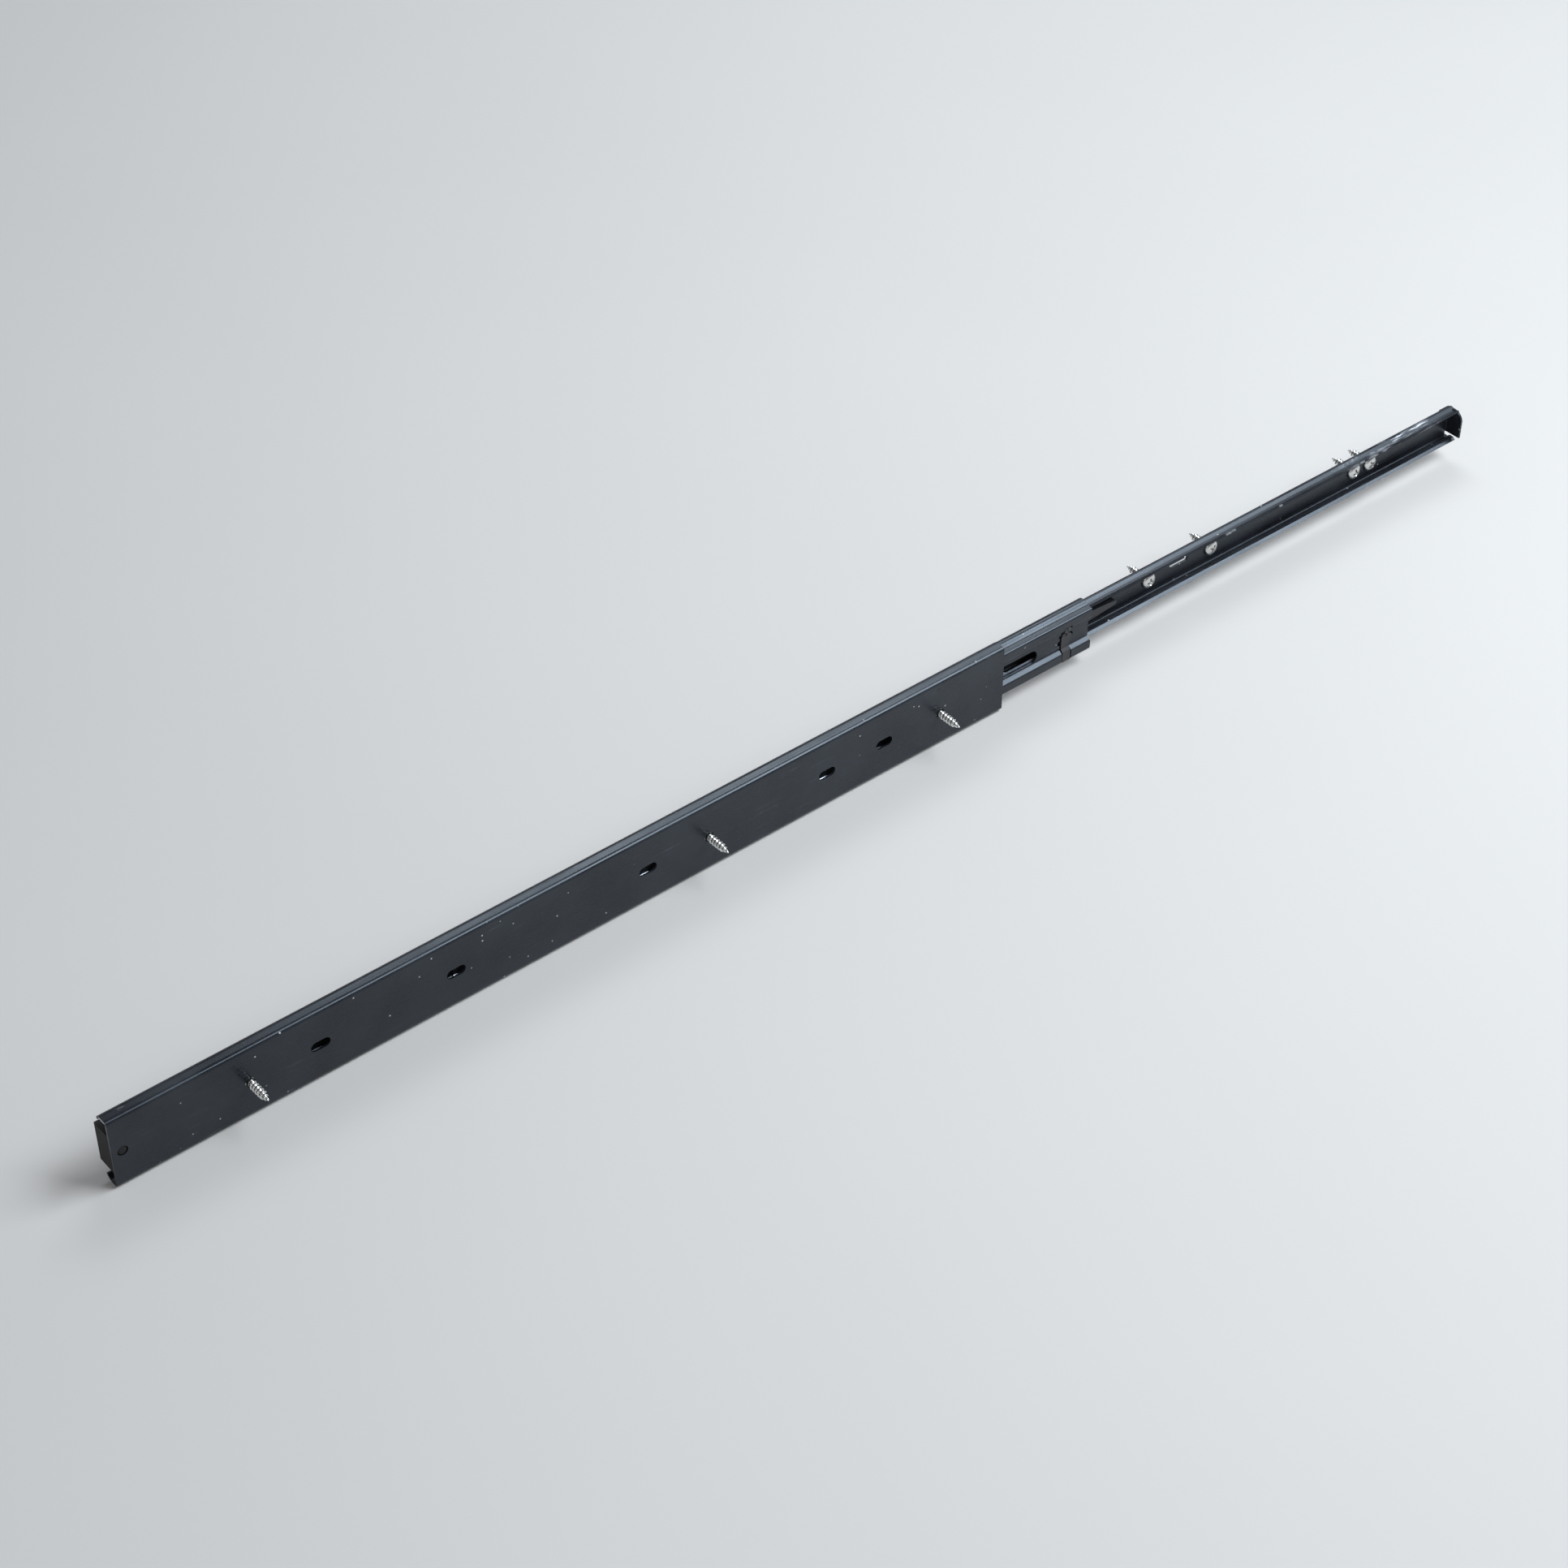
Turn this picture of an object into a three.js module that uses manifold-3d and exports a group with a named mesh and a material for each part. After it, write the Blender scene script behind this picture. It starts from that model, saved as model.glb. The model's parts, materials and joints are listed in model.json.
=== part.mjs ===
// A full-extension ball-bearing drawer slide, drawn three quarters open.
// Three bent-steel channels run inside each other on four rows of balls held by two cages.
// Millimetres. +X is the way the drawer pulls out, +Z is up, and the cabinet wall is at -Y.
// The origin is the middle of the cabinet channel's mounting face.
import * as THREE from "three";
import { mergeVertices } from "three/addons/utils/BufferGeometryUtils.js";
import Module from "manifold-3d";

const wasm = await Module();
wasm.setup();

// Driving dimensions
const LENGTH = 450; // cabinet channel
const SHEET = 1.0; // channel steel
const CAGE_SHEET = 0.4;
const SLIDE_DEPTH = 12.7; // cabinet wall to drawer side
const RUNNING_GAP = 0.1; // ball to race
const REST_GAP = 0.1; // between pieces that touch

// Where the moving channels stand
const OUTER_FRONT = LENGTH / 2;
const OUTER_REAR = -LENGTH / 2;
const MIDDLE_OUT = 55; // intermediate channel ahead of the cabinet channel
const MIDDLE_LENGTH = 440;
const MIDDLE_FRONT = OUTER_FRONT + MIDDLE_OUT;
const MIDDLE_REAR = MIDDLE_FRONT - MIDDLE_LENGTH;
const INNER_OUT = 248; // inner channel ahead of the intermediate channel
const INNER_LENGTH = 438;
const INNER_FRONT = MIDDLE_FRONT + INNER_OUT;
const INNER_REAR = INNER_FRONT - INNER_LENGTH;

// Ball rows: centre of the upper row across the slide, and the ball's radius
const OUTER_ROW = new THREE.Vector2(4.3, 13.98);
const OUTER_BALL = 4.76 / 2;
const INNER_ROW = new THREE.Vector2(8.4, 9.9);
const INNER_BALL = 3.97 / 2;
const BALLS_A_ROW = 9;

// Cages: each stands in the middle of the overlap of its two channels
const OUTER_CAGE = { length: 200, middle: (MIDDLE_REAR + OUTER_FRONT) / 2, pitch: 22 };
const INNER_CAGE = { length: 150, middle: (INNER_REAR + MIDDLE_FRONT) / 2, pitch: 16.5 };

// Screws and holes along the slide
const CABINET_SCREWS_BACK = [37, 165, 389]; // behind the cabinet channel's front end
const DRAWER_SCREWS_BACK = [56, 67, 163, 203]; // behind the inner channel's front end
const CABINET_SPARES_BACK = [69, 101, 197, 293, 357];
const DRAWER_SPARES_BACK = [331, 363, 395];
const SPARE_SLOT = [9, 4.6]; // length and width
const SMALL_SLOT = { back: 183.5, z: 1.5, size: [12, 3.4] }; // in the inner channel
const SCREW_HOLE_RADIUS = 2.3;
const SCREW_SHANK_RADIUS = 1.9;

const CHANNEL_BLACK = { color: 0x23272d, roughness: 0.38, metalness: 0.6 };
const ZINC = { color: 0x8d99a8, roughness: 0.32, metalness: 0.9 };
const BRIGHT_STEEL = { color: 0xc9cdd2, roughness: 0.15, metalness: 1.0 };
const PLATED_SCREW = { color: 0xb9bcc0, roughness: 0.25, metalness: 1.0 };
const BLACK_PLASTIC = { color: 0x1b1c1f, roughness: 0.5, metalness: 0.0 };
const BLACK_RUBBER = { color: 0x141414, roughness: 0.85, metalness: 0.0 };

// ---- solids -------------------------------------------------------------------------------

function solid(geometry) {
  const bare = geometry.clone();
  bare.deleteAttribute("uv");
  bare.deleteAttribute("normal");
  const merged = mergeVertices(bare, 1e-4);
  return new wasm.Manifold(
    new wasm.Mesh({
      numProp: 3,
      vertProperties: new Float32Array(merged.attributes.position.array),
      triVerts: new Uint32Array(merged.index.array),
    }),
  );
}

function geometryOf(manifold) {
  const mesh = manifold.getMesh();
  const geometry = new THREE.BufferGeometry();
  geometry.setAttribute("position", new THREE.BufferAttribute(mesh.vertProperties, 3));
  geometry.setIndex(new THREE.BufferAttribute(mesh.triVerts, 1));
  return geometry;
}

function box(low, high) {
  const size = high.map((value, i) => value - low[i]);
  const middle = high.map((value, i) => (value + low[i]) / 2);
  return solid(new THREE.BoxGeometry(...size).translate(...middle));
}

// A section drawn in (y, z), pushed along X.
const ALONG_X = new THREE.Matrix4().makeBasis(
  new THREE.Vector3(0, 1, 0),
  new THREE.Vector3(0, 0, 1),
  new THREE.Vector3(1, 0, 0),
);
function alongX(shape, from, to) {
  const geometry = new THREE.ExtrudeGeometry(shape, { depth: to - from, bevelEnabled: false });
  return solid(geometry.applyMatrix4(ALONG_X).translate(from, 0, 0));
}

// An outline drawn in (z, x), pushed along Y.
const ALONG_Y = new THREE.Matrix4().makeBasis(
  new THREE.Vector3(0, 0, 1),
  new THREE.Vector3(1, 0, 0),
  new THREE.Vector3(0, 1, 0),
);
function alongY(shape, from, to) {
  const geometry = new THREE.ExtrudeGeometry(shape, {
    depth: to - from,
    bevelEnabled: false,
    curveSegments: 6,
  });
  return solid(geometry.applyMatrix4(ALONG_Y).translate(0, from, 0));
}

// A slot with round ends that runs along X; a slot as long as it is wide is a round hole.
function obround(x, z, length, width) {
  const radius = width / 2;
  const reach = length / 2 - radius;
  const shape = new THREE.Shape();
  shape.absarc(z, x + reach, radius, 0, Math.PI, false);
  shape.absarc(z, x - reach, radius, Math.PI, 2 * Math.PI, false);
  return shape;
}

function slot(x, z, length, width, from, to) {
  return alongY(obround(x, z, length, width), from, to);
}

// A solid turned about the Y axis through (x, z); the profile is [radius, y] pairs on the axis
// at both ends, running in the +Y direction.
function turned(profile, x, z, sides) {
  const points = profile.map(([radius, y]) => new THREE.Vector2(radius, y));
  return solid(new THREE.LatheGeometry(points, sides).translate(x, 0, z));
}

// ---- bent sheet sections -----------------------------------------------------------------

const BEND_STEPS = 4;

function arc(centre, radius, fromDegrees, toDegrees, steps) {
  return Array.from({ length: steps + 1 }, (_, i) => {
    const angle = THREE.MathUtils.degToRad(
      THREE.MathUtils.lerp(fromDegrees, toDegrees, i / steps),
    );
    return new THREE.Vector2(
      centre.x + radius * Math.cos(angle),
      centre.y + radius * Math.sin(angle),
    );
  });
}

// A polyline with each inner corner rounded to its own bend radius: [[y, z, radius], ...].
function bentLine(corners) {
  const points = corners.map(([y, z]) => new THREE.Vector2(y, z));
  const line = [points[0]];
  for (let i = 1; i < points.length - 1; i += 1) {
    const back = points[i - 1].clone().sub(points[i]).normalize();
    const on = points[i + 1].clone().sub(points[i]).normalize();
    const half = Math.acos(THREE.MathUtils.clamp(back.dot(on), -1, 1)) / 2;
    const reach = corners[i][2] / Math.tan(half);
    const start = points[i].clone().addScaledVector(back, reach);
    const end = points[i].clone().addScaledVector(on, reach);
    const bend = new THREE.QuadraticBezierCurve(start, points[i], end);
    line.push(...bend.getPoints(BEND_STEPS));
  }
  line.push(points[points.length - 1]);
  return line;
}

// The outline of a sheet of even thickness about the centre line.
function sheetOutline(line, thickness) {
  const sides = [[], []];
  line.forEach((point, i) => {
    const before = line[Math.max(i - 1, 0)];
    const after = line[Math.min(i + 1, line.length - 1)];
    const into = (i ? point.clone().sub(before) : after.clone().sub(point)).normalize();
    const out = (i < line.length - 1 ? after.clone().sub(point) : into.clone()).normalize();
    const along = into.clone().add(out).normalize();
    const reach = thickness / 2 / along.dot(into);
    const normal = new THREE.Vector2(-along.y, along.x);
    sides[0].push(point.clone().addScaledVector(normal, reach));
    sides[1].push(point.clone().addScaledVector(normal, -reach));
  });
  return new THREE.Shape([...sides[0], ...sides[1].reverse()]);
}

// A section with the same upper and lower half; the upper half starts in the middle of the web.
function mirrored(upper) {
  const lower = upper
    .slice(1)
    .map((point) => new THREE.Vector2(point.x, -point.y))
    .reverse();
  return [...lower, ...upper.slice(1)];
}

const race = (ballRadius) => ballRadius + RUNNING_GAP + SHEET / 2;

// ---- cabinet channel ----------------------------------------------------------------------

const OUTER_WEB = SHEET / 2;
const OUTER_FLANGE = OUTER_ROW.y + race(OUTER_BALL);
const OUTER_LIP_DEGREES = 15;

function outerSection() {
  const web = bentLine([
    [OUTER_WEB, 0],
    [OUTER_WEB, OUTER_FLANGE, 1.5],
    [OUTER_ROW.x - 0.2, OUTER_FLANGE],
  ]);
  const lip = arc(OUTER_ROW, race(OUTER_BALL), 90, OUTER_LIP_DEGREES, 6);
  return sheetOutline(mirrored([...web, ...lip]), SHEET);
}

const BUMPER_DEPTH = 9.5;
const BUMPER_HALF = 10; // half its height
const BUMPER_TOP = 10.8; // its face towards the drawer
const BUMPER_RIM = 2.5; // left on both sides of the groove across it
const BUMPER_GROOVE_Y = 6;
const BUMPER_PEG_X = OUTER_REAR + BUMPER_DEPTH / 2;
const BUMPER_PEG_RADIUS = 2;

function outerChannel() {
  const through = [-1, SHEET + 1];
  let channel = alongX(outerSection(), OUTER_REAR, OUTER_FRONT);
  for (const back of CABINET_SCREWS_BACK) {
    const hole = 2 * SCREW_HOLE_RADIUS;
    channel = channel.subtract(slot(OUTER_FRONT - back, 0, hole, hole, ...through));
  }
  for (const back of CABINET_SPARES_BACK) {
    channel = channel.subtract(slot(OUTER_FRONT - back, 0, ...SPARE_SLOT, ...through));
  }
  const peg = 2 * (BUMPER_PEG_RADIUS + 0.3);
  return channel.subtract(slot(BUMPER_PEG_X, 0, peg, peg, ...through));
}

// The block at the rear end that stops the two moving channels
function rearBumper() {
  const floor = SHEET + REST_GAP;
  const front = OUTER_REAR + BUMPER_DEPTH;
  const block = box([OUTER_REAR, floor, -BUMPER_HALF], [front, BUMPER_TOP, BUMPER_HALF]);
  const relief = box(
    [OUTER_REAR + BUMPER_RIM, BUMPER_GROOVE_Y, -BUMPER_HALF - 1],
    [front - BUMPER_RIM, BUMPER_TOP + 1, BUMPER_HALF + 1],
  );
  const peg = turned(
    [
      [0, 0.2],
      [BUMPER_PEG_RADIUS, 0.2],
      [BUMPER_PEG_RADIUS, floor + 1],
      [0, floor + 1],
    ],
    BUMPER_PEG_X,
    0,
    16,
  );
  return block.subtract(relief).add(peg);
}

// ---- intermediate channel ------------------------------------------------------------------

const MIDDLE_WEB = 4.5;
const MIDDLE_RAIL = 2.4;
const MIDDLE_STEP_IN = 5.2;
const MIDDLE_STEP_OUT = 6.8;
const MIDDLE_STEP_BEND = 0.8;
const MIDDLE_RAIL_BEND = 0.8;
const BETWEEN_ROWS_DEGREES = 45;
const MIDDLE_TIP_DEGREES = 32;

function middleSection() {
  const groove = OUTER_ROW.y - race(OUTER_BALL);
  const web = bentLine([
    [MIDDLE_WEB, 0],
    [MIDDLE_WEB, MIDDLE_STEP_IN, MIDDLE_STEP_BEND],
    [MIDDLE_RAIL, MIDDLE_STEP_OUT, MIDDLE_STEP_BEND],
    [MIDDLE_RAIL, groove, MIDDLE_RAIL_BEND],
    [OUTER_ROW.x - 0.2, groove],
  ]);
  const grooveArc = arc(OUTER_ROW, race(OUTER_BALL), -90, -BETWEEN_ROWS_DEGREES, 4);
  const crest = arc(
    INNER_ROW,
    race(INNER_BALL),
    180 - BETWEEN_ROWS_DEGREES,
    MIDDLE_TIP_DEGREES,
    8,
  );
  return sheetOutline(mirrored([...web, ...grooveArc, ...crest]), SHEET);
}

// The clip at the front end: an arm in a notch of the web and both rails
const CLIP_X = MIDDLE_FRONT - 14.4;
const CLIP_HALF = 2.3;
const CLIP_BOTTOM = -12.5;
const CLIP_TOP = 7.2;
const CLIP_SHEET = 1.2;
const CLIP_BEND = 0.8;
const CLIP_SHOULDER = { z: 0.8, out: 0.2, radius: 1.6 };
const CLIP_HEAD = { z: 3.2, front: 0.3, back: 0.6 };
const NOTCH_GAP = 0.5;
const NOTCH_RELIEFS = [[2.1, 0.8], [-1.3, 1.4]]; // height and radius, behind the arm

// The arm's outline: straight below, with a shoulder in front and a narrower head on top
function armOutline(grow) {
  const front = CLIP_X + CLIP_HALF + grow;
  const back = CLIP_X - CLIP_HALF - grow;
  const shoulder = CLIP_SHOULDER.radius + 0.8 * grow;
  const shape = new THREE.Shape();
  shape.moveTo(CLIP_BOTTOM, back);
  shape.lineTo(CLIP_BOTTOM, front);
  shape.lineTo(CLIP_SHOULDER.z - shoulder - 0.4, front);
  shape.absarc(CLIP_SHOULDER.z, front + CLIP_SHOULDER.out, shoulder, Math.PI, 0, true);
  shape.lineTo(CLIP_HEAD.z, front - CLIP_HEAD.front);
  shape.lineTo(CLIP_TOP + grow, front - CLIP_HEAD.front);
  shape.lineTo(CLIP_TOP + grow, back + CLIP_HEAD.back);
  shape.lineTo(CLIP_HEAD.z - 0.6, back + CLIP_HEAD.back);
  shape.lineTo(CLIP_HEAD.z - 1.6, back);
  return shape;
}

const ACCESS_SLOTS = { first: 31, length: 42, width: 7, z: -1, pitch: 108, count: 4 };

function middleChannel() {
  let channel = alongX(middleSection(), MIDDLE_REAR, MIDDLE_FRONT);
  const webThrough = [0, 6];
  for (let i = 0; i < ACCESS_SLOTS.count; i += 1) {
    const back = ACCESS_SLOTS.first + ACCESS_SLOTS.length / 2 + i * ACCESS_SLOTS.pitch;
    const { z, length, width } = ACCESS_SLOTS;
    channel = channel.subtract(slot(MIDDLE_FRONT - back, z, length, width, ...webThrough));
  }
  // Notch for the clip, with two round reliefs behind the arm
  channel = channel.subtract(alongY(armOutline(NOTCH_GAP), ...webThrough));
  for (const [z, radius] of NOTCH_RELIEFS) {
    const relief = slot(CLIP_X - CLIP_HALF - 0.4, z, 2 * radius, 2 * radius, ...webThrough);
    channel = channel.subtract(relief);
  }
  return channel;
}

const CLIP_ARM_Y = 4.1; // the arm's middle, level with the web
const CLIP_RAIL_Y = 2.7; // its head and foot, level with the rails
const CLIP_PLATE_Y = 5.15; // the plate behind the web that holds it
const CLIP_NUBS = [[6.0, 0.5, CLIP_RAIL_Y], [2.2, 1.0, CLIP_ARM_Y]]; // z, x and face

function frontClip() {
  const armLine = bentLine([
    [CLIP_RAIL_Y, CLIP_TOP - 0.1],
    [CLIP_RAIL_Y, 5.0, CLIP_BEND],
    [CLIP_ARM_Y, 3.7, CLIP_BEND],
    [CLIP_ARM_Y, -4.7, CLIP_BEND],
    [CLIP_RAIL_Y, -6.4, CLIP_BEND],
    [CLIP_RAIL_Y, -11.2],
  ]);
  const width = CLIP_HALF + 3;
  const arm = alongX(sheetOutline(armLine, CLIP_SHEET), CLIP_X - width, CLIP_X + width);
  const neck = box([CLIP_X - 1.6, CLIP_ARM_Y, -1.5], [CLIP_X + 1.6, CLIP_PLATE_Y + 0.3, 3.4]);
  const plate = box(
    [CLIP_X - 1.6, CLIP_PLATE_Y, -4.4],
    [MIDDLE_FRONT - 3, CLIP_PLATE_Y + 0.5, 4.8],
  );
  const nubs = CLIP_NUBS.map(([z, x, y]) => {
    const face = y - CLIP_SHEET / 2;
    const profile = [[0, face - 0.6], [0.55, face - 0.5], [0.75, face + 0.1], [0, face + 0.1]];
    return turned(profile, CLIP_X + x, z, 10);
  });
  return [neck, plate, ...nubs].reduce(
    (clip, piece) => clip.add(piece),
    arm.intersect(alongY(armOutline(0), 0, 6)),
  );
}

// ---- inner channel -------------------------------------------------------------------------

const INNER_WEB = SLIDE_DEPTH - SHEET / 2;
const INNER_SHOULDER = 8.5;
const INNER_TIP_Y = 6.2;

function innerSection() {
  const groove = INNER_ROW.y - race(INNER_BALL);
  const upper = bentLine([
    [INNER_WEB, 0],
    [INNER_WEB, INNER_SHOULDER, 1.2],
    [10.6, INNER_SHOULDER, 0.5],
    [INNER_ROW.x + 0.9, groove + 0.1, 0.8],
    [INNER_ROW.x - 0.9, groove + 0.1, 0.8],
    [INNER_TIP_Y, 8.35],
  ]);
  return sheetOutline(mirrored(upper), SHEET);
}

// The tab bent across the front end, which also stops the slide when it closes
const TAB = { low: -5.4, high: 8.6, near: 3.2, corner: 5.5 };

function frontTab() {
  const shape = new THREE.Shape();
  shape.moveTo(SLIDE_DEPTH, TAB.low);
  shape.lineTo(SLIDE_DEPTH, TAB.high);
  shape.absarc(TAB.near + TAB.corner, TAB.high - TAB.corner, TAB.corner, Math.PI / 2, Math.PI);
  shape.lineTo(TAB.near, TAB.low);
  return alongX(shape, INNER_FRONT - SHEET, INNER_FRONT);
}

const LEVER_PIVOT_X = INNER_FRONT - 288;
const RIVET_SHANK = 1.8;

function innerChannel() {
  const webThrough = [INNER_WEB - SHEET, SLIDE_DEPTH + 1];
  let channel = alongX(innerSection(), INNER_REAR, INNER_FRONT).add(frontTab());
  for (const back of DRAWER_SCREWS_BACK) {
    const hole = 2 * SCREW_HOLE_RADIUS;
    channel = channel.subtract(slot(INNER_FRONT - back, 0, hole, hole, ...webThrough));
  }
  const { back: smallBack, z: smallZ, size: smallSize } = SMALL_SLOT;
  channel = channel.subtract(slot(INNER_FRONT - smallBack, smallZ, ...smallSize, ...webThrough));
  for (const back of DRAWER_SPARES_BACK) {
    channel = channel.subtract(slot(INNER_FRONT - back, 0, ...SPARE_SLOT, ...webThrough));
  }
  const rivetHole = 2 * (RIVET_SHANK + 0.3);
  return channel.subtract(slot(LEVER_PIVOT_X, 0, rivetHole, rivetHole, ...webThrough));
}

// ---- release lever -------------------------------------------------------------------------

const LEVER_BACK_Y = SLIDE_DEPTH - SHEET - 0.3;
const LEVER_FRONT_Y = LEVER_BACK_Y - 2.2;
const LEVER_TIP_X = INNER_FRONT - 225;
const LEVER_EYE = 4.2;

function releaseLever() {
  const x = LEVER_PIVOT_X;
  const body = new THREE.Shape();
  body.absarc(0, x, LEVER_EYE, Math.PI, 2 * Math.PI, false);
  body.lineTo(3.4, x + 22);
  body.lineTo(2.6, x + 42);
  body.lineTo(1.0, LEVER_TIP_X - 1);
  body.lineTo(0.2, LEVER_TIP_X);
  body.lineTo(-1.2, LEVER_TIP_X - 0.5);
  body.lineTo(-3.0, x + 44);
  body.lineTo(-3.6, x + 24);
  const hole = 2 * (RIVET_SHANK + 0.25);
  const pad = slot(x + 34, -0.2, 16, 4.4, LEVER_FRONT_Y - 0.9, LEVER_FRONT_Y + 0.2);
  // A springy finger runs back from the eye and bears on the lower flange
  const finger = new THREE.Shape();
  finger.moveTo(-2.4, x);
  finger.lineTo(-3.6, x - 10);
  finger.lineTo(-5.2, x - 24);
  finger.lineTo(-6.0, x - 24);
  finger.lineTo(-4.8, x - 9);
  finger.lineTo(-3.8, x);
  return alongY(body, LEVER_FRONT_Y, LEVER_BACK_Y)
    .add(pad)
    .add(alongY(finger, LEVER_FRONT_Y, LEVER_BACK_Y))
    .subtract(slot(x, 0, hole, hole, 0, SLIDE_DEPTH));
}

function leverRivet() {
  const head = LEVER_FRONT_Y - REST_GAP;
  return turned(
    [
      [0, head - 0.9],
      [1.6, head - 0.75],
      [2.6, head - 0.4],
      [3.0, head],
      [RIVET_SHANK, head],
      [RIVET_SHANK, SLIDE_DEPTH - 0.1],
      [0, SLIDE_DEPTH - 0.1],
    ],
    LEVER_PIVOT_X,
    0,
    20,
  );
}

// ---- cages and balls -----------------------------------------------------------------------

function ballXs(cage) {
  return Array.from(
    { length: BALLS_A_ROW },
    (_, i) => cage.middle + (i - (BALLS_A_ROW - 1) / 2) * cage.pitch,
  );
}

// Cuts the ball holes through both arms and the windows through the web.
function pierced(cage, blank, row, ballRadius, windowY) {
  const reach = ballRadius + 0.07;
  let out = blank;
  for (const x of ballXs(cage)) {
    for (const z of [row.y, -row.y]) {
      const plug = new THREE.CylinderGeometry(reach, reach, 2, 14).rotateX(Math.PI / 2);
      out = out.subtract(solid(plug.translate(x, row.x, z)));
    }
  }
  const windows = 4;
  for (let i = 0; i < windows; i += 1) {
    const x = cage.middle + ((i - (windows - 1) / 2) * cage.length) / windows;
    out = out.subtract(slot(x, 0, cage.length / windows - 14, 6, windowY - 1, windowY + 1));
  }
  return out;
}

function outerCage() {
  const { middle, length } = OUTER_CAGE;
  const raised = 3.6;
  const low = 1.4;
  const upper = bentLine([
    [raised, 0],
    [raised, 4.6, 0.4],
    [low, 6.3, 0.4],
    [low, OUTER_ROW.y, 0.6],
    [7.4, OUTER_ROW.y],
  ]);
  const blank = alongX(
    sheetOutline(mirrored(upper), CAGE_SHEET),
    middle - length / 2,
    middle + length / 2,
  );
  return pierced(OUTER_CAGE, blank, OUTER_ROW, OUTER_BALL, raised);
}

function innerCage() {
  const { middle, length } = INNER_CAGE;
  const webY = 5.55;
  const upper = bentLine([
    [webY, 0],
    [webY, INNER_ROW.y, 0.5],
    [11.0, INNER_ROW.y],
  ]);
  const blank = alongX(
    sheetOutline(mirrored(upper), CAGE_SHEET),
    middle - length / 2,
    middle + length / 2,
  );
  return pierced(INNER_CAGE, blank, INNER_ROW, INNER_BALL, webY);
}

// ---- screws --------------------------------------------------------------------------------

const SCREW_HEAD = { radius: 4, height: 2.0, length: 14 };

// A pan-head wood screw that points to +Y, with its head's underside at y = 0, at the origin
function woodScrew() {
  const { radius, height, length } = SCREW_HEAD;
  const dome = new THREE.QuadraticBezierCurve(
    new THREE.Vector2(0, -height),
    new THREE.Vector2(radius * 0.95, -height * 0.95),
    new THREE.Vector2(radius, 0),
  );
  const screw = turned(
    [
      ...dome.getPoints(5).map((point) => [point.x, point.y]),
      [SCREW_SHANK_RADIUS, 0],
      [SCREW_SHANK_RADIUS, length - 4],
      [0, length],
    ],
    0,
    0,
    20,
  );
  const armLength = 2.2;
  const armHalf = 0.45;
  const depth = -height + 1.1;
  const cross = box([-armLength, -3, -armHalf], [armLength, depth, armHalf]).add(
    box([-armHalf, -3, -armLength], [armHalf, depth, armLength]),
  );
  return geometryOf(screw.subtract(cross));
}

// ---- assembly ------------------------------------------------------------------------------

const slide = new THREE.Group();

function place(name, geometry, finish) {
  const mesh = new THREE.Mesh(geometry, new THREE.MeshStandardMaterial(finish));
  mesh.name = name;
  slide.add(mesh);
  return mesh;
}

place("outer_channel", geometryOf(outerChannel()), CHANNEL_BLACK);
place("rear_bumper", geometryOf(rearBumper()), BLACK_RUBBER);
place("intermediate_channel", geometryOf(middleChannel()), CHANNEL_BLACK);
place("front_clip", geometryOf(frontClip()), BLACK_PLASTIC);
place("inner_channel", geometryOf(innerChannel()), CHANNEL_BLACK);
place("release_lever", geometryOf(releaseLever()), BLACK_PLASTIC);
place("lever_rivet", geometryOf(leverRivet()), PLATED_SCREW);
place("outer_cage", geometryOf(outerCage()), ZINC);
place("inner_cage", geometryOf(innerCage()), ZINC);

function placeBalls(prefix, cage, row, radius) {
  for (const [side, sign] of [["upper", 1], ["lower", -1]]) {
    ballXs(cage).forEach((x, i) => {
      const name = `${prefix}_ball_${side}_${i + 1}`;
      const ball = place(name, new THREE.IcosahedronGeometry(radius, 1), BRIGHT_STEEL);
      ball.position.set(x, row.x, sign * row.y);
    });
  }
}
placeBalls("outer", OUTER_CAGE, OUTER_ROW, OUTER_BALL);
placeBalls("inner", INNER_CAGE, INNER_ROW, INNER_BALL);

DRAWER_SCREWS_BACK.forEach((back, i) => {
  const screw = place(`drawer_screw_${i + 1}`, woodScrew(), PLATED_SCREW);
  screw.position.set(INNER_FRONT - back, SLIDE_DEPTH - SHEET - REST_GAP, 0);
});
CABINET_SCREWS_BACK.forEach((back, i) => {
  const screw = place(`cabinet_screw_${i + 1}`, woodScrew(), PLATED_SCREW);
  screw.position.set(OUTER_FRONT - back, SHEET + REST_GAP, 0);
  screw.rotation.z = Math.PI;
});

export default slide;
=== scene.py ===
import json
import math
import random

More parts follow.
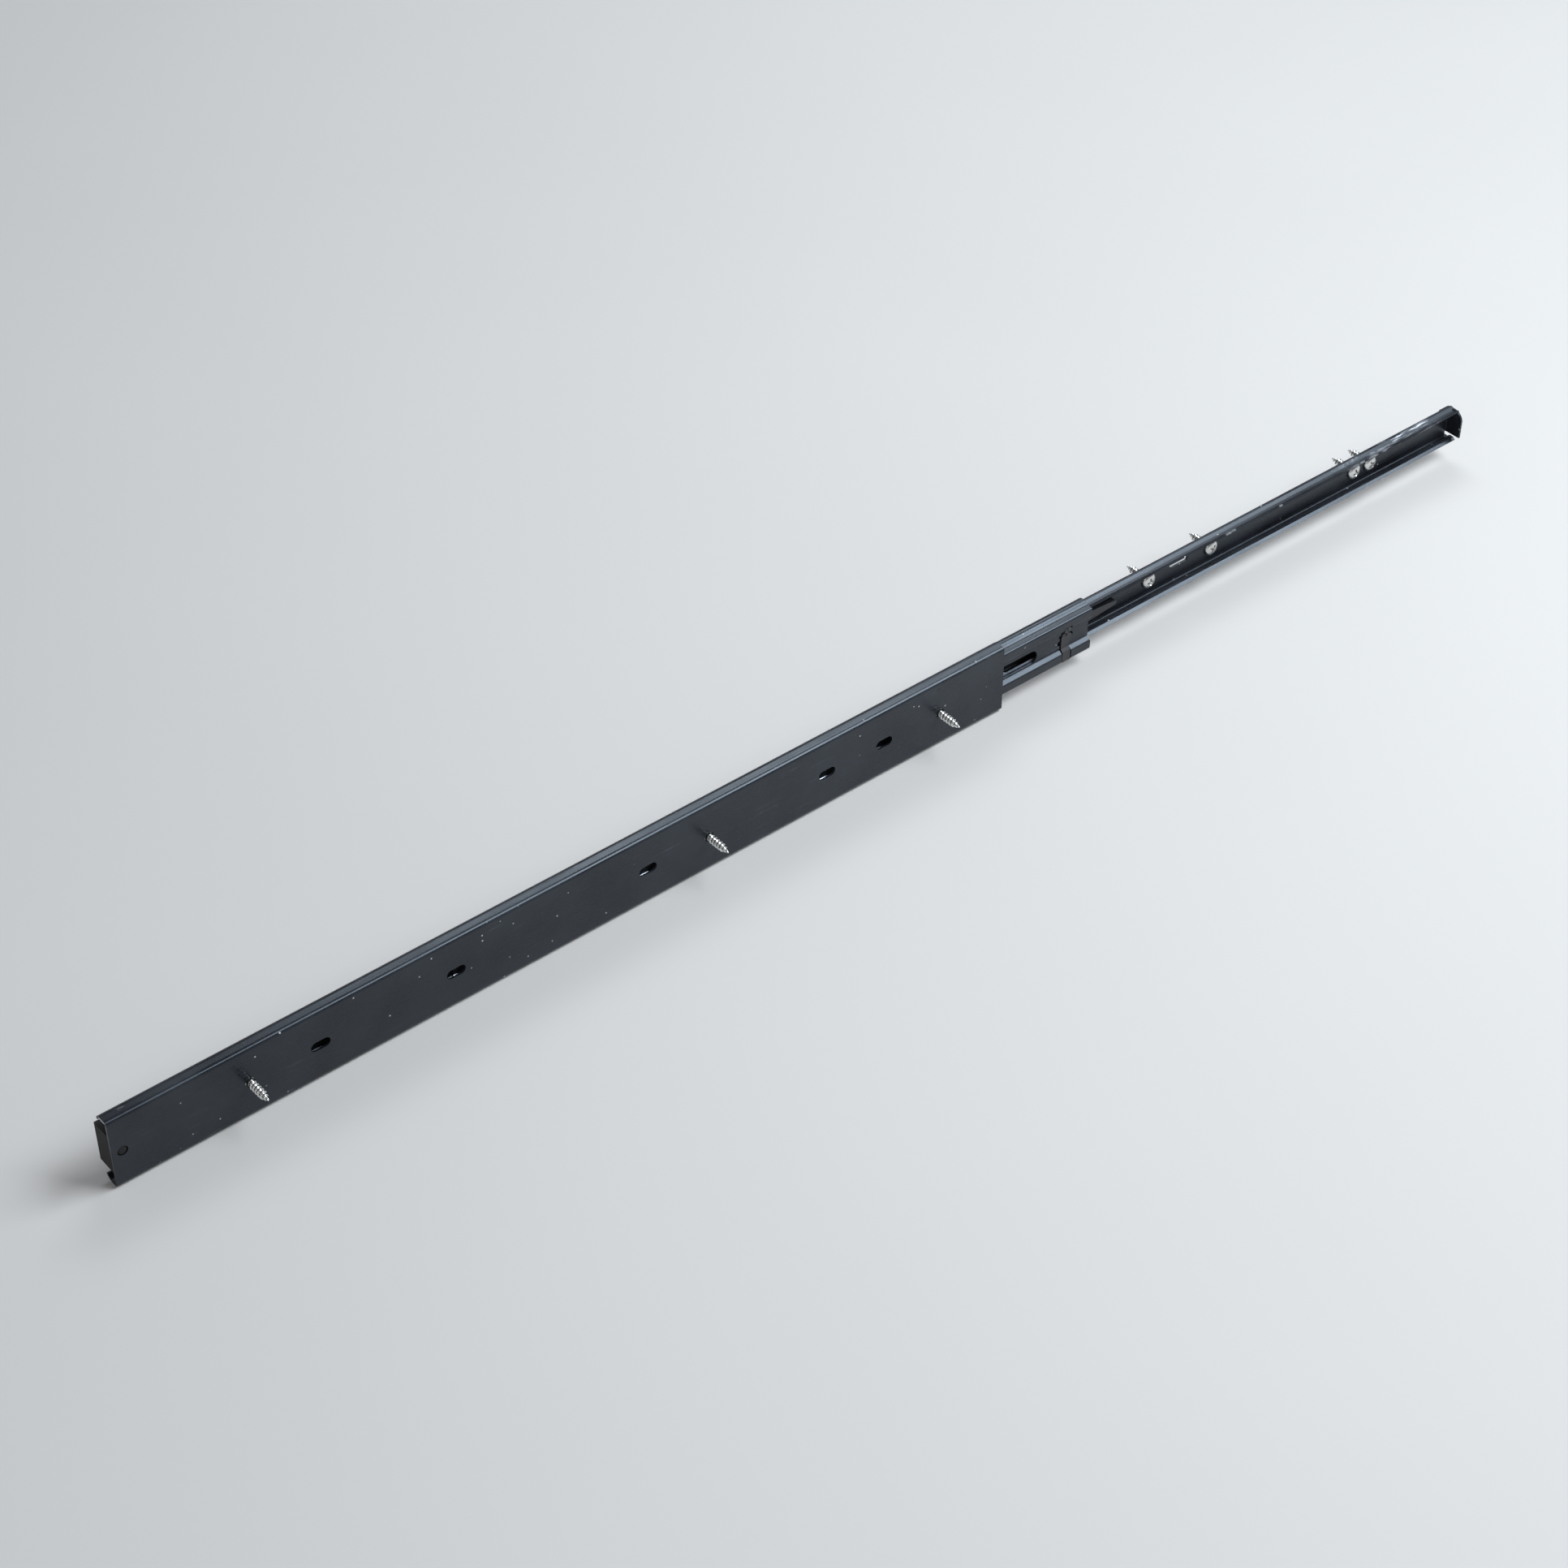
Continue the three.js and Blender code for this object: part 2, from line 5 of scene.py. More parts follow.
import bmesh
import bpy
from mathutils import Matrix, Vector

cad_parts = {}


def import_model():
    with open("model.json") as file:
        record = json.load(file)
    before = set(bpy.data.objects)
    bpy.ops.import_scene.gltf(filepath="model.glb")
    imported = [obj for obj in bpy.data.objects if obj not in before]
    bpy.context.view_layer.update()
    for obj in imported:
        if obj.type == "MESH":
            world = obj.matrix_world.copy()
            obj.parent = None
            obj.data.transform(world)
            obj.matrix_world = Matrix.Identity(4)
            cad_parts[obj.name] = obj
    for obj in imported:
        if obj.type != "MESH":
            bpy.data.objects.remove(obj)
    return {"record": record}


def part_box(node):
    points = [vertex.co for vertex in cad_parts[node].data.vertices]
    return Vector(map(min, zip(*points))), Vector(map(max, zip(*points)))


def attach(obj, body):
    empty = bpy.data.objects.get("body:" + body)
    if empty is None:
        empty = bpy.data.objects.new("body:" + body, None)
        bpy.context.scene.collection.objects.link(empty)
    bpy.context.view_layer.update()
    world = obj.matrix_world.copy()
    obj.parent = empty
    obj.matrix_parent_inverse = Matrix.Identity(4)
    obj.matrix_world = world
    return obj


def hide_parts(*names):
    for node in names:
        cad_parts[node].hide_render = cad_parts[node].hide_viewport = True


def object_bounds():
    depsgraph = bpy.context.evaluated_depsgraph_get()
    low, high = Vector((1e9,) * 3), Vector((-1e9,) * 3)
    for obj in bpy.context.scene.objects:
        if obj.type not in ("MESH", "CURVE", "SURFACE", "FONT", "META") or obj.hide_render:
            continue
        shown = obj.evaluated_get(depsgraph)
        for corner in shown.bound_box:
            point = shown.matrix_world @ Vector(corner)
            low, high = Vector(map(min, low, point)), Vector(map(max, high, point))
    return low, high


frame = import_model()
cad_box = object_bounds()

# Shapes below are worked out in millimetres in the part's own frame and made in metres.
MM = 0.001
random.seed(7)


# ---- what the frame says -------------------------------------------------------------------

def span(node):
    low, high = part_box(node)
    return low / MM, high / MM


def middle(node):
    low, high = span(node)
    return (low + high) / 2


def radius(node):
    low, high = span(node)
    return (high - low).z / 2


def body_of(node):
    bodies = frame["record"]["behaviour"]["bodies"]
    return next(body for body, nodes in bodies.items() if node in nodes)


OUTER_LOW, OUTER_HIGH = span("outer_channel")
MIDDLE_LOW, MIDDLE_HIGH = span("intermediate_channel")
INNER_LOW, INNER_HIGH = span("inner_channel")
OUTER_BALL = middle("outer_ball_upper_1")
INNER_BALL = middle("inner_ball_upper_1")
OUTER_BALL_RADIUS = radius("outer_ball_upper_1")
INNER_BALL_RADIUS = radius("inner_ball_upper_1")
BALLS_A_ROW = 9
DEPTH = INNER_HIGH.y
SHEET = 1.0
CAGE_SHEET = 0.4
RUNNING_GAP = 0.1


# ---- sections of bent sheet, as (y, z) -----------------------------------------------------

def arc(centre, reach, start, end, steps):
    angles = [math.radians(start + (end - start) * i / steps) for i in range(steps + 1)]
    return [(centre[0] + reach * math.cos(a), centre[1] + reach * math.sin(a)) for a in angles]


def bent_line(corners, steps=7):
    """A polyline whose inner corners (y, z, radius) are rounded."""
    points = [Vector(c[:2]) for c in corners]
    line = [tuple(points[0])]
    for i in range(1, len(points) - 1):
        back = (points[i - 1] - points[i]).normalized()
        on = (points[i + 1] - points[i]).normalized()
        half = math.acos(max(-1, min(1, back.dot(on)))) / 2
        reach = corners[i][2] / math.tan(half)
        start, end = points[i] + back * reach, points[i] + on * reach
        for k in range(steps + 1):
            t = k / steps
            line.append(tuple(start * (1 - t) ** 2 + points[i] * 2 * t * (1 - t) + end * t * t))
    line.append(tuple(points[-1]))
    return line


def mirrored(upper):
    return [(y, -z) for y, z in reversed(upper[1:])] + upper[1:]


def two_sides(line, thickness):
    sides = [[], []]
    for i, point in enumerate(line):
        here = Vector(point)
        into = (here - Vector(line[i - 1])).normalized() if i else None
        out = (Vector(line[i + 1]) - here).normalized() if i < len(line) - 1 else None
        into, out = into or out, out or into
        along = (into + out).normalized()
        reach = thickness / 2 / along.dot(into)
        normal = Vector((-along.y, along.x))
        sides[0].append(here + normal * reach)
        sides[1].append(here - normal * reach)
    return sides


def race(ball_radius):
    return ball_radius + RUNNING_GAP + SHEET / 2


# ---- mesh building -------------------------------------------------------------------------

def to_object(name, bm):
    bmesh.ops.remove_doubles(bm, verts=bm.verts, dist=0.5e-6)
    bmesh.ops.recalc_face_normals(bm, faces=bm.faces)
    mesh = bpy.data.meshes.new(name)
    bm.to_mesh(mesh)
    bm.free()
    made = bpy.data.objects.new(name, mesh)
    bpy.context.scene.collection.objects.link(made)
    return made


def sheet_along_x(name, line, thickness, start, end):
    sides = two_sides(line, thickness)
    bm = bmesh.new()
    rings = [
        [[bm.verts.new((x * MM, p.x * MM, p.y * MM)) for p in side] for side in sides]
        for x in (start, end)
    ]
    last = len(line) - 1
    for i in range(last):
        for near, far in zip(*rings):
            bm.faces.new((near[i], far[i], far[i + 1], near[i + 1]))
        for ring in rings:
            bm.faces.new((ring[0][i], ring[0][i + 1], ring[1][i + 1], ring[1][i]))
    for i in (0, last):
        bm.faces.new((rings[0][0][i], rings[0][1][i], rings[1][1][i], rings[1][0][i]))
    return to_object(name, bm)


def prism(name, outline, start, end, place):
    """A closed outline pushed from start to end; place puts (a, b, depth) into (x, y, z)."""
    bm = bmesh.new()
    rings = [[bm.verts.new(Vector(place(a, b, d)) * MM) for a, b in outline] for d in (start, end)]
    count = len(outline)
    for i in range(count):
        k = (i + 1) % count
        bm.faces.new((rings[0][i], rings[0][k], rings[1][k], rings[1][i]))
    for ring in rings:
        bm.faces.new(ring)
    return to_object(name, bm)


def along_y(name, outline, start, end):
    return prism(name, outline, start, end, lambda x, z, y: (x, y, z))


def along_x(name, outline, start, end):
    return prism(name, outline, start, end, lambda y, z, x: (x, y, z))


def along_z(name, outline, start, end):
    return prism(name, outline, start, end, lambda x, y, z: (x, y, z))


def block(name, low, high):
    outline = [(low[0], low[1]), (high[0], low[1]), (high[0], high[1]), (low[0], high[1])]
    return along_z(name, outline, low[2], high[2])


def obround(x, z, length, width, steps=12):
    reach = length / 2 - width / 2
    right = arc((x + reach, z), width / 2, -90, 90, steps)
    left = arc((x - reach, z), width / 2, 90, 270, steps)
    return right + left if reach > 0 else right + left[1:-1]


def slot_cutter(x, z, length, width, start, end):
    return along_y("cutter", obround(x, z, length, width), start, end)


def turned(name, profile, x, z, sides=48):
    """Turned about the line through (x, z) along Y; profile is (radius, y) from axis to axis."""
    bm = bmesh.new()
    rings = []
    for reach, y in profile:
        if reach == 0:
            rings.append([bm.verts.new(Vector((x, y, z)) * MM)])
            continue
        turns = [2 * math.pi * i / sides for i in range(sides)]
        rings.append([
            bm.verts.new(Vector((x + reach * math.cos(a), y, z + reach * math.sin(a))) * MM)
            for a in turns
        ])
    for one, two in zip(rings, rings[1:]):
        join_rings(bm, one, two)
    return to_object(name, bm)


def join_rings(bm, one, two):
    count = max(len(one), len(two))
    for i in range(count):
        k = (i + 1) % count
        corners = [one[i % len(one)], one[k % len(one)], two[k % len(two)], two[i % len(two)]]
        bm.faces.new(list(dict.fromkeys(corners)))


def settle(made):
    """Applies every modifier of a piece to its mesh."""
    bpy.context.view_layer.update()
    graph = bpy.context.evaluated_depsgraph_get()
    mesh = bpy.data.meshes.new_from_object(made.evaluated_get(graph))
    old = made.data
    made.modifiers.clear()
    made.data = mesh
    bpy.data.meshes.remove(old)


def combine(made, others, operation):
    for other in others:
        boolean = made.modifiers.new("boolean", "BOOLEAN")
        boolean.operation = operation
        boolean.solver = "EXACT"
        boolean.object = other
        settle(made)
        bpy.data.objects.remove(other)
    return made


def cut(made, *cutters):
    return combine(made, cutters, "DIFFERENCE")


def weld(made, *pieces):
    return combine(made, pieces, "UNION")


def keep_inside(made, *pieces):
    return combine(made, pieces, "INTERSECT")


def clean(made):
    bm = bmesh.new()
    bm.from_mesh(made.data)
    bmesh.ops.remove_doubles(bm, verts=bm.verts, dist=2e-6)
    bmesh.ops.dissolve_degenerate(bm, edges=bm.edges, dist=1e-6)
    bm.to_mesh(made.data)
    bm.free()


def soften(made, width, segments=2, edge_slot=-1, angle=38):
    """Rounds the sharp edges and shades the rest smoothly. The rounded edges take edge_slot."""
    if width:
        clean(made)
        bevel = made.modifiers.new("edges", "BEVEL")
        bevel.width = width * MM
        bevel.segments = segments
        bevel.limit_method = "ANGLE"
        bevel.angle_limit = math.radians(angle)
        bevel.material = edge_slot
        settle(made)
    made.data.shade_smooth()
    made.data.set_sharp_from_angle(angle=math.radians(angle))
    weighted = made.modifiers.new("normals", "WEIGHTED_NORMAL")
    weighted.keep_sharp = True
    weighted.weight = 80
    settle(made)


def fit(made, node, *materials):
    """Puts a finished piece in place of its CAD node."""
    made.data.materials.clear()
    for material in materials:
        made.data.materials.append(material)
    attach(made, body_of(node))
    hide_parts(node)


# ---- materials -----------------------------------------------------------------------------

class Paint:
    """A material's node tree, with short ways to add what the finishes share."""

    def __init__(self, name, **values):
        self.material = bpy.data.materials.new(name)
        self.material.use_nodes = True
        self.tree = self.material.node_tree
        self.shader = self.tree.nodes["Principled BSDF"]
        self.place = self.add("ShaderNodeTexCoord").outputs["Object"]
        for key, value in values.items():
            socket = key.replace("_", " ").title().replace("Ior", "IOR")
            self.shader.inputs[socket].default_value = value

    def add(self, kind, links=(), **settings):
        made = self.tree.nodes.new(kind)
        for key, value in settings.items():
            setattr(made, key, value)
        for key, value in dict(links).items():
            if isinstance(value, bpy.types.NodeSocket):
                self.tree.links.new(value, made.inputs[key])
            else:
                made.inputs[key].default_value = value
        return made

    def stretched(self, scale, where=None):
        links = {"Vector": where or self.place, "Scale": scale}
        return self.add("ShaderNodeMapping", links).outputs[0]

    def shifted(self, by):
        return self.add("ShaderNodeVectorMath", {0: self.place, 1: by}).outputs[0]

    def noise(self, scale, detail=3, roughness=0.55, where=None):
        links = {"Vector": where or self.place, "Scale": scale}
        links.update({"Detail": detail, "Roughness": roughness})
        return self.add("ShaderNodeTexNoise", links).outputs["Fac"]

    def ramp(self, value, low, high, out_low=0.0, out_high=1.0, smooth=False):
        links = {"Value": value, "From Min": low, "From Max": high}
        links.update({"To Min": out_low, "To Max": out_high})
        kind = "SMOOTHSTEP" if smooth else "LINEAR"
        return self.add("ShaderNodeMapRange", links, interpolation_type=kind).outputs[0]

    def maths(self, operation, one, two=0.0):
        return self.add("ShaderNodeMath", {0: one, 1: two}, operation=operation).outputs[0]

    def gathered(self, operation, values):
        total = values[0]
        for value in values[1:]:
            total = self.maths(operation, total, value)
        return total

    def times(self, *values):
        return self.gathered("MULTIPLY", values)

    def plus(self, *values):
        return self.gathered("ADD", values)

    def most(self, *values):
        return self.gathered("MAXIMUM", values)

    def blend(self, share, one, two):
        mixer = self.add("ShaderNodeMix", data_type="RGBA")
        for number, value in ((0, share), (6, one), (7, two)):
            socket = mixer.inputs[number]
            if isinstance(value, bpy.types.NodeSocket):
                self.tree.links.new(value, socket)
            else:
                socket.default_value = (*value, 1.0)
        return mixer.outputs[2]

    def axes(self):
        split = self.add("ShaderNodeSeparateXYZ", {"Vector": self.place})
        return split.outputs[0], split.outputs[1], split.outputs[2]

    def facing_up(self):
        normal = self.add("ShaderNodeNewGeometry").outputs["Normal"]
        return self.add("ShaderNodeSeparateXYZ", {"Vector": normal}).outputs[2]

    def bump(self, *layers):
        """Layers are (height, strength, depth in mm); each rests on the one before."""
        normal = None
        for height, strength, depth in layers:
            links = {"Height": height, "Strength": strength, "Distance": depth * MM}
            if normal is not None:
                links["Normal"] = normal
            normal = self.add("ShaderNodeBump", links).outputs[0]
        self.tree.links.new(normal, self.shader.inputs["Normal"])

    def drive(self, **values):
        for key, value in values.items():
            self.tree.links.new(value, self.shader.inputs[key.replace("_", " ").title()])

    def specks(self, scale, size, share):
        """Small round specks on some cells of a grid of cells."""
        cells = self.add("ShaderNodeTexVoronoi", {"Vector": self.place, "Scale": scale})
        near = self.ramp(cells.outputs["Distance"], size, size * 0.5)
        tint = self.add("ShaderNodeSeparateColor", {"Color": cells.outputs["Color"]}).outputs[0]
        return self.times(near, self.ramp(tint, 1 - share, 1 - share + 0.01))


COAT_DARK = (0.006, 0.0065, 0.009)
COAT_LIGHT = (0.016, 0.018, 0.023)
COAT_GLINT = (0.74, 0.87, 1.0, 1.0)
SCUFF = (0.16, 0.17, 0.19)
DUST = (0.66, 0.67, 0.68)
STEEL = (0.42, 0.45, 0.49)


def black_coat(name, rubbed, seed):
    """Semi-gloss black coat on rolled steel: faint rolling lines, orange peel, scuffs and dust."""
    paint = Paint(name, ior=1.5, specular_ior_level=0.5, specular_tint=COAT_GLINT)
    shifted = paint.shifted((seed, seed * 0.7, seed * 1.3))
    cloud = paint.noise(38, 4, where=shifted)
    rolled = paint.noise(1.0, 5, 0.6, where=paint.stretched((9, 900, 900), shifted))
    peel = paint.noise(1500, 2, where=shifted)
    scratch = paint.noise(1.0, 6, 0.7, where=paint.stretched((45, 700, 700), shifted))
    scuffs = paint.times(paint.ramp(scratch, 0.60, 0.70), paint.ramp(cloud, 0.45, 0.62))
    dust = paint.specks(330, 0.16, 0.10)
    colour = paint.blend(paint.ramp(cloud, 0.3, 0.7), COAT_DARK, COAT_LIGHT)
    colour = paint.blend(paint.times(scuffs, 0.35), colour, SCUFF)
    bare = rubbed(paint, shifted)
    colour = paint.blend(bare, colour, STEEL)
    metal = paint.most(paint.times(scuffs, 0.12), bare)
    colour = paint.blend(paint.times(dust, 0.75), colour, DUST)
    rough = paint.plus(
        paint.ramp(cloud, 0.3, 0.7, 0.20, 0.32),
        paint.ramp(rolled, 0.35, 0.7, 0.0, 0.09),
        paint.times(dust, 0.4),
    )
    paint.drive(base_color=colour, metallic=metal, roughness=rough)
    paint.bump((peel, 0.20, 0.010), (rolled, 0.35, 0.018), (dust, 0.5, 0.05))
    return paint.material


RUB_MARKS = ((123, 1.1), (156, 3.4))  # behind the inner channel's front end, and half length


def rub_inner(paint, where):
    """Bright rubbed steel on the inner channel's upper flange, most of all near its front."""
    x, y, z = paint.axes()
    top = paint.times(
        paint.ramp(z, 7.3 * MM, 8.2 * MM),
        paint.ramp(y, 11.9 * MM, 10.6 * MM),
    )
    streaks = paint.noise(1.0, 5, 0.65, where=paint.stretched((60, 500, 500), where))
    blotch = paint.noise(120, 4, 0.7, where=where)
    front = INNER_HIGH.x
    near = paint.times(
        paint.ramp(x, (front - 86) * MM, (front - 58) * MM, smooth=True),
        paint.ramp(x, (front - 9) * MM, (front - 22) * MM, smooth=True),
    )
    lip = paint.ramp(y, 7.6 * MM, 7.2 * MM)
    marks = []
    for back, half in RUB_MARKS:
        offset = paint.maths("ABSOLUTE", paint.maths("SUBTRACT", x, (front - back) * MM))
        marks.append(paint.ramp(offset, half * MM, half * 0.8 * MM))
    wide = paint.times(near, paint.ramp(streaks, 0.47, 0.58), paint.ramp(blotch, 0.42, 0.54), 0.85)
    everywhere = paint.times(paint.ramp(streaks, 0.63, 0.70), paint.ramp(blotch, 0.52, 0.62), 0.7)
    dents = paint.times(paint.most(*marks), lip, paint.ramp(blotch, 0.34, 0.42))
    return paint.times(top, paint.most(wide, everywhere, dents))


def rub_crest(paint, where):
    """Fine rubbing on the crests that face up."""
    up = paint.ramp(paint.facing_up(), 0.80, 0.96)
    streaks = paint.noise(1.0, 5, 0.7, where=paint.stretched((70, 600, 600), where))
    blotch = paint.noise(60, 4, 0.7, where=where)
    return paint.times(up, paint.ramp(streaks, 0.60, 0.72), paint.ramp(blotch, 0.50, 0.64), 0.6)


def worn_edge(name, seed):
    """The cut edges, where the coat is thin and chips to steel."""
    paint = Paint(name, ior=1.5, specular_ior_level=0.5)
    shifted = paint.shifted((seed, seed, seed))
    chips = paint.ramp(paint.noise(420, 5, 0.7, where=shifted), 0.50, 0.62)
    thin = paint.noise(90, 3, where=shifted)
    colour = paint.blend(paint.ramp(thin, 0.3, 0.7), (0.035, 0.038, 0.045), (0.10, 0.105, 0.12))
    paint.drive(
        base_color=paint.blend(paint.times(chips, 0.85), colour, STEEL),
        metallic=paint.times(chips, 0.9),
        roughness=paint.ramp(thin, 0.3, 0.7, 0.28, 0.42),
    )
    paint.bump((chips, 0.4, 0.02))
    return paint.material


def zinc_plate():
    paint = Paint("zinc_plate", metallic=0.95, ior=1.5)
    spangle = paint.noise(260, 4, 0.6)
    drawn = paint.noise(1.0, 4, 0.6, where=paint.stretched((12, 1400, 1400)))
    stain = paint.ramp(paint.noise(55, 5, 0.65), 0.52, 0.72)
    colour = paint.blend(paint.ramp(spangle, 0.3, 0.7), (0.30, 0.34, 0.39), (0.44, 0.48, 0.54))
    paint.drive(
        base_color=paint.blend(paint.times(stain, 0.45), colour, (0.16, 0.17, 0.18)),
        roughness=paint.plus(paint.ramp(spangle, 0.3, 0.7, 0.22, 0.36), paint.times(stain, 0.2)),
    )
    paint.bump((drawn, 0.3, 0.012), (spangle, 0.15, 0.01))
    return paint.material


def ball_steel():
    paint = Paint("ball_steel", metallic=1.0)
    film = paint.noise(900, 4, 0.6)
    grease = paint.ramp(paint.noise(210, 3, 0.6), 0.50, 0.66)
    paint.drive(
        base_color=paint.blend(paint.times(grease, 0.45), (0.70, 0.71, 0.73), (0.33, 0.29, 0.22)),
        roughness=paint.plus(paint.ramp(film, 0.3, 0.7, 0.06, 0.14), paint.times(grease, 0.18)),
    )
    paint.bump((film, 0.08, 0.004))
    return paint.material


def screw_plate():
    paint = Paint("screw_plate", metallic=1.0)
    film = paint.noise(700, 5, 0.6)
    stain = paint.ramp(paint.noise(300, 5, 0.7), 0.55, 0.72)
    paint.drive(
        base_color=paint.blend(paint.times(stain, 0.5), (0.66, 0.66, 0.65), (0.26, 0.25, 0.23)),
        roughness=paint.plus(paint.ramp(film, 0.3, 0.7, 0.20, 0.34), paint.times(stain, 0.2)),
    )
    paint.bump((film, 0.25, 0.01))
    return paint.material


def black_plastic():
    paint = Paint("black_plastic", ior=1.48, specular_ior_level=0.55)
    spark = paint.noise(2600, 2)
    flow = paint.noise(45, 3)
    streak = paint.ramp(flow, 0.3, 0.7)
    rough = paint.ramp(flow, 0.3, 0.7, 0.34, 0.46)
    paint.drive(
        base_color=paint.blend(streak, (0.014, 0.015, 0.018), (0.030, 0.032, 0.037)),
        roughness=paint.plus(rough, paint.ramp(spark, 0.3, 0.7, 0.0, 0.10)),
    )
    paint.bump((spark, 0.35, 0.012), (flow, 0.2, 0.03))
    return paint.material


def black_rubber():
    paint = Paint("black_rubber", ior=1.5, specular_ior_level=0.3)
    grain = paint.noise(1800, 3)
    bloom = paint.ramp(paint.noise(110, 4, 0.6), 0.45, 0.72)
    paint.drive(
        base_color=paint.blend(bloom, (0.010, 0.010, 0.010), (0.035, 0.034, 0.033)),
        roughness=paint.ramp(bloom, 0.0, 1.0, 0.68, 0.86),
    )
    paint.bump((grain, 0.5, 0.02))
    return paint.material


def pale_floor():
    paint = Paint("pale_floor", specular_ior_level=0.25)
    tone = paint.noise(3, 2)
    paint.drive(
        base_color=paint.blend(tone, (0.545, 0.54, 0.53), (0.575, 0.57, 0.56)),
        roughness=paint.ramp(tone, 0.3, 0.7, 0.75, 0.85),
    )
    return paint.material


OUTER_COAT = black_coat("coat_cabinet_channel", rub_crest, 0.31)
MIDDLE_COAT = black_coat("coat_intermediate_channel", rub_crest, 1.73)
INNER_COAT = black_coat("coat_inner_channel", rub_inner, 2.9)
EDGE = worn_edge("coat_worn_edge", 0.5)
ZINC = zinc_plate()
BALL_STEEL = ball_steel()
SCREW_PLATE = screw_plate()
PLASTIC = black_plastic()
RUBBER = black_rubber()


# ---- cabinet channel -----------------------------------------------------------------------

HOLE = 4.6
SPARE_LENGTH = 9
CABINET_SPARES_BACK = (69, 101, 197, 293, 357)
DRAWER_SPARES_BACK = (331, 363, 395)
EDGE_ROUND = 0.13


def outer_channel():
    flange = OUTER_BALL.z + race(OUTER_BALL_RADIUS)
    web = bent_line([(SHEET / 2, 0), (SHEET / 2, flange, 1.5), (OUTER_BALL.y - 0.2, flange)])
    lip = arc((OUTER_BALL.y, OUTER_BALL.z), race(OUTER_BALL_RADIUS), 90, 15, 14)
    section = mirrored(web + lip)
    channel = sheet_along_x("cabinet_channel", section, SHEET, OUTER_LOW.x, OUTER_HIGH.x)
    cutters = []
    for i in (1, 2, 3):
        cutters.append(slot_cutter(middle(f"cabinet_screw_{i}").x, 0, HOLE, HOLE, -1, 2))
    for back in CABINET_SPARES_BACK:
        cutters.append(slot_cutter(OUTER_HIGH.x - back, 0, SPARE_LENGTH, HOLE, -1, 2))
    cutters.append(slot_cutter(middle("rear_bumper").x, 0, HOLE, HOLE, -1, 2))
    cut(channel, *cutters)
    soften(channel, EDGE_ROUND, 2, 1)
    fit(channel, "outer_channel", OUTER_COAT, EDGE)


BUMPER_RIM = 2.5
BUMPER_GROOVE_Y = 6


def rear_bumper():
    """The stop at the rear end: a block with a groove across it and a peg through the web."""
    low, high = span("rear_bumper")
    floor = SHEET + 0.1
    made = block("rear_bumper_block", (low.x, floor, low.z), (high.x, high.y, high.z))
    relief = block(
        "cutter", (low.x + BUMPER_RIM, BUMPER_GROOVE_Y, -14), (high.x - BUMPER_RIM, 12, 14))
    cut(made, relief)
    profile = [(0, 0.2), (1.7, 0.2), (2, 0.5), (2, floor + 1), (0, floor + 1)]
    weld(made, turned("peg", profile, middle("rear_bumper").x, 0))
    soften(made, 0.6, 4)
    fit(made, "rear_bumper", RUBBER)


# ---- intermediate channel ------------------------------------------------------------------

WEB_Y, RAIL_Y, BEND = 4.5, 2.4, 0.8
CLIP_HALF = 2.3
CLIP_TOP = 7.2
CLIP_X = MIDDLE_HIGH.x - 14.4
CLIP_RAIL_Y, CLIP_ARM_Y, CLIP_SHEET = 2.7, 4.1, 1.2
NOTCH_GAP = 0.5
NOTCH_RELIEFS = ((2.1, 0.8), (-1.3, 1.4))  # height and radius, behind the arm
ACCESS_FIRST, ACCESS_LENGTH, ACCESS_WIDTH, ACCESS_PITCH = 31, 42, 7, 108
ACCESS_Z, ACCESS_COUNT = -1, 4


def middle_section():
    groove = OUTER_BALL.z - race(OUTER_BALL_RADIUS)
    web = bent_line([
        (WEB_Y, 0),
        (WEB_Y, 5.2, BEND),
        (RAIL_Y, 6.8, BEND),
        (RAIL_Y, groove, BEND),
        (OUTER_BALL.y - 0.2, groove),
    ])
    groove_arc = arc((OUTER_BALL.y, OUTER_BALL.z), race(OUTER_BALL_RADIUS), -90, -45, 8)
    crest = arc((INNER_BALL.y, INNER_BALL.z), race(INNER_BALL_RADIUS), 135, 32, 18)
    return mirrored(web + groove_arc + crest)


def arm_outline(grow):
    """The clip arm's outline, as (x, z): a shoulder in front and a narrower head on top."""
    front, back = CLIP_X + CLIP_HALF + grow, CLIP_X - CLIP_HALF - grow
    reach = 1.6 + 0.8 * grow
    shoulder = [(x, z) for z, x in arc((0.8, front + 0.2), reach, 180, 0, 14)]
    return [
        (back, -12.5),
        (front, -12.5),
        (front, 0.4 - reach),
        *shoulder,
        (front - 0.3, 3.2),
        (front - 0.3, CLIP_TOP + grow),
        (back + 0.6, CLIP_TOP + grow),
        (back + 0.6, 2.6),
        (back, 1.6),
    ]


def intermediate_channel():
    channel = sheet_along_x(
        "intermediate_channel_steel", middle_section(), SHEET, MIDDLE_LOW.x, MIDDLE_HIGH.x)
    cutters = []
    for i in range(ACCESS_COUNT):
        x = MIDDLE_HIGH.x - ACCESS_FIRST - ACCESS_LENGTH / 2 - i * ACCESS_PITCH
        cutters.append(slot_cutter(x, ACCESS_Z, ACCESS_LENGTH, ACCESS_WIDTH, 0, 6))
    cutters.append(along_y("cutter", arm_outline(NOTCH_GAP), 0, 6))
    for z, reach in NOTCH_RELIEFS:
        cutters.append(slot_cutter(CLIP_X - CLIP_HALF - 0.4, z, 2 * reach, 2 * reach, 0, 6))
    cut(channel, *cutters)
    soften(channel, EDGE_ROUND, 2, 1)
    fit(channel, "intermediate_channel", MIDDLE_COAT, EDGE)


def clip_nub(x, z, face):
    profile = [
        (0, face - 0.6), (0.35, face - 0.55), (0.6, face - 0.4), (0.75, face + 0.2), (0, face + 0.2),
    ]
    return turned("nub", profile, x, z, 24)


